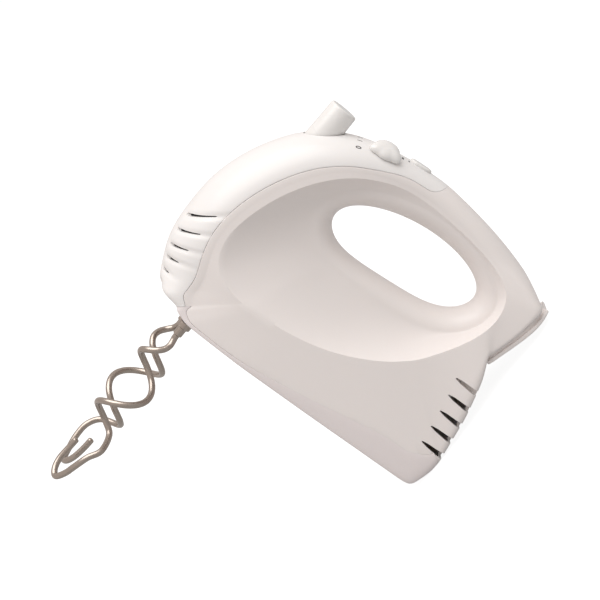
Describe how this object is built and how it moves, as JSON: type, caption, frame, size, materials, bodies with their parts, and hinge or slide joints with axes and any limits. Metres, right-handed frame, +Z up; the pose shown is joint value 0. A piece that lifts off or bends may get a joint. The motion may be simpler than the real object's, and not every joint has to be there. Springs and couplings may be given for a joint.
{
  "type": "hand mixer",
  "caption": "Electric hand mixer standing on its heel, with a closed handle, eject button, speed slider, turbo button and two wire dough hooks driven by a worm gear.",
  "frame": {"origin": "centre of the bounding box's bottom, on the plane that the mixer stands on with its heel", "axes": "+Z up from the heel to the nose, +X from the hooks' side to the handle's ridge, -Y the mixer's left side"},
  "size_m": [0.2779, 0.0756, 0.2027],
  "materials": {
    "white_plastic": "satin warm white moulding",
    "grey_plastic": "satin, slightly greyer",
    "button_plastic": "glossy warm grey-white",
    "nylon": "natural nylon",
    "chrome": "bright plated wire",
    "steel": "plain steel",
    "core_steel": "varnished laminations",
    "copper_wire": "enamelled copper",
    "brass": "sintered bronze and brass",
    "dark_plastic": "black moulding",
    "rubber": "soft black"
  },
  "bodies": {
    "housing": {"housing_left": "white_plastic", "housing_right": "white_plastic", "top_cover": "white_plastic", "base_cover": "grey_plastic", "heel_plate": "white_plastic", "housing_screws": "steel", "base_screws": "steel", "cord_gland": "rubber", "gear_bracket": "steel", "lower_bushes": "brass", "upper_bushes": "brass", "thrust_washers": "steel", "front_bearing": "brass", "middle_bearing": "brass", "rear_bearing": "brass", "rear_bracket": "steel", "motor_bolts": "steel", "stator_core": "core_steel", "field_coils": "copper_wire", "brush_holders": "brass", "carbon_brushes": "dark_plastic", "brush_springs": "steel", "switch_board": "dark_plastic", "board_screws": "steel", "speed_switch": "dark_plastic", "turbo_switch": "dark_plastic", "eject_spring": "steel", "turbo_spring": "steel"},
    "rotor": {"motor_shaft": "steel", "rotor_core": "core_steel", "rotor_winding": "copper_wire", "commutator": "brass", "fan": "dark_plastic"},
    "gear_left": {"spindle_left": "steel", "worm_wheel_left": "nylon"},
    "gear_right": {"spindle_right": "steel", "worm_wheel_right": "nylon"},
    "pin_left": {"ejector_pin_left": "steel"},
    "pin_right": {"ejector_pin_right": "steel"},
    "hook_left": {"hook_left": "chrome"},
    "hook_right": {"hook_right": "chrome"},
    "eject": {"eject_button": "button_plastic", "ejector_frame": "nylon"},
    "knob": {"speed_knob": "button_plastic", "speed_cam": "nylon"},
    "turbo": {"turbo_button": "button_plastic"}
  },
  "joints": [
    {"name": "rotor_spin", "type": "hinge", "parent": "housing", "child": "rotor", "pos_m": [0.01987, 0, 0.112], "axis": [0, 0, 1], "continuous": true},
    {"name": "left_spin", "type": "hinge", "parent": "housing", "child": "gear_left", "pos_m": [0.01987, -0.016, 0.1613], "axis": [1, 0, 0], "continuous": true},
    {"name": "right_spin", "type": "hinge", "parent": "housing", "child": "gear_right", "pos_m": [0.01987, 0.016, 0.1613], "axis": [1, 0, 0], "continuous": true},
    {"name": "eject_press", "type": "slide", "parent": "housing", "child": "eject", "axis": [-1, 0, 0], "range_m": [0, 0.008], "stiffness_N_per_m": 400, "springref_m": -0.006, "deforming": ["eject_spring"]},
    {"name": "left_pin_slide", "type": "slide", "parent": "gear_left", "child": "pin_left", "axis": [-1, 0, 0], "range_m": [0, 0.008]},
    {"name": "right_pin_slide", "type": "slide", "parent": "gear_right", "child": "pin_right", "axis": [-1, 0, 0], "range_m": [0, 0.008]},
    {"name": "left_hook_pull", "type": "slide", "parent": "pin_left", "child": "hook_left", "axis": [-1, 0, 0], "range_m": [0, 0.05]},
    {"name": "right_hook_pull", "type": "slide", "parent": "pin_right", "child": "hook_right", "axis": [-1, 0, 0], "range_m": [0, 0.05]},
    {"name": "speed_turn", "type": "hinge", "parent": "housing", "child": "knob", "pos_m": [0.10848, 0, 0.13046], "axis": [-0.233, 0, 0.9725], "range_deg": [0, 36]},
    {"name": "turbo_press", "type": "slide", "parent": "housing", "child": "turbo", "axis": [-0.9949, 0, -0.1009], "range_m": [0, 0.0015], "stiffness_N_per_m": 600, "springref_m": -0.001, "deforming": ["turbo_spring"]}
  ],
  "couplings": [
    {"joint": "left_spin", "follows": "rotor_spin", "ratio": -0.033333},
    {"joint": "right_spin", "follows": "rotor_spin", "ratio": 0.033333},
    {"joint": "left_pin_slide", "follows": "eject_press", "ratio": 1},
    {"joint": "right_pin_slide", "follows": "eject_press", "ratio": 1}
  ]
}
